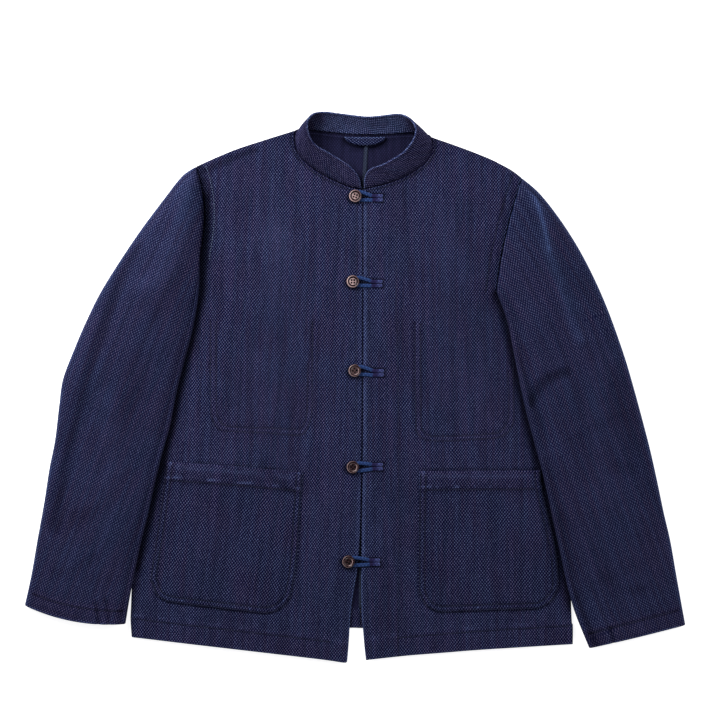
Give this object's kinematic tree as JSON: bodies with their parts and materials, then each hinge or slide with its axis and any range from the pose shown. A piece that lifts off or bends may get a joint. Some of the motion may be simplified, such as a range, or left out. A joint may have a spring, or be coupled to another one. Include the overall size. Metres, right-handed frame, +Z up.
{
  "type": "sashiko work jacket",
  "caption": "A buttoned sashiko work jacket with a stand collar, loop fastenings, long set-in sleeves and two patch pockets, laid flat with its front up.",
  "frame": {"origin": "under the middle of the jacket's bounding box, on the surface that it lies on", "axes": "+X runs across the jacket from the wearer's right to the wearer's left, +Y from the hem to the collar, +Z up from the surface through the front"},
  "size_m": [0.8832, 0.734, 0.0297],
  "materials": {
    "sashiko_cloth": "heavy two-ply indigo cotton with a lattice of raised floats",
    "loop_cord": "narrow folded strip of the same cotton, worn bluer on its edges",
    "seam_tape": "narrow plain cotton binding",
    "button": "brown four-hole button with a soft shine"
  },
  "bodies": {
    "root": {"back_left": "sashiko_cloth", "back_right": "sashiko_cloth", "front_left": "sashiko_cloth", "front_right": "sashiko_cloth", "sleeve_left": "sashiko_cloth", "sleeve_right": "sashiko_cloth", "collar": "sashiko_cloth", "pocket_left": "sashiko_cloth", "pocket_right": "sashiko_cloth", "hanger_loop": "sashiko_cloth", "centre_back_tape": "seam_tape", "button_1": "button", "button_2": "button", "button_3": "button", "button_4": "button", "button_5": "button", "loop_1": "loop_cord", "loop_2": "loop_cord", "loop_3": "loop_cord", "loop_4": "loop_cord", "loop_5": "loop_cord"}
  },
  "joints": []
}
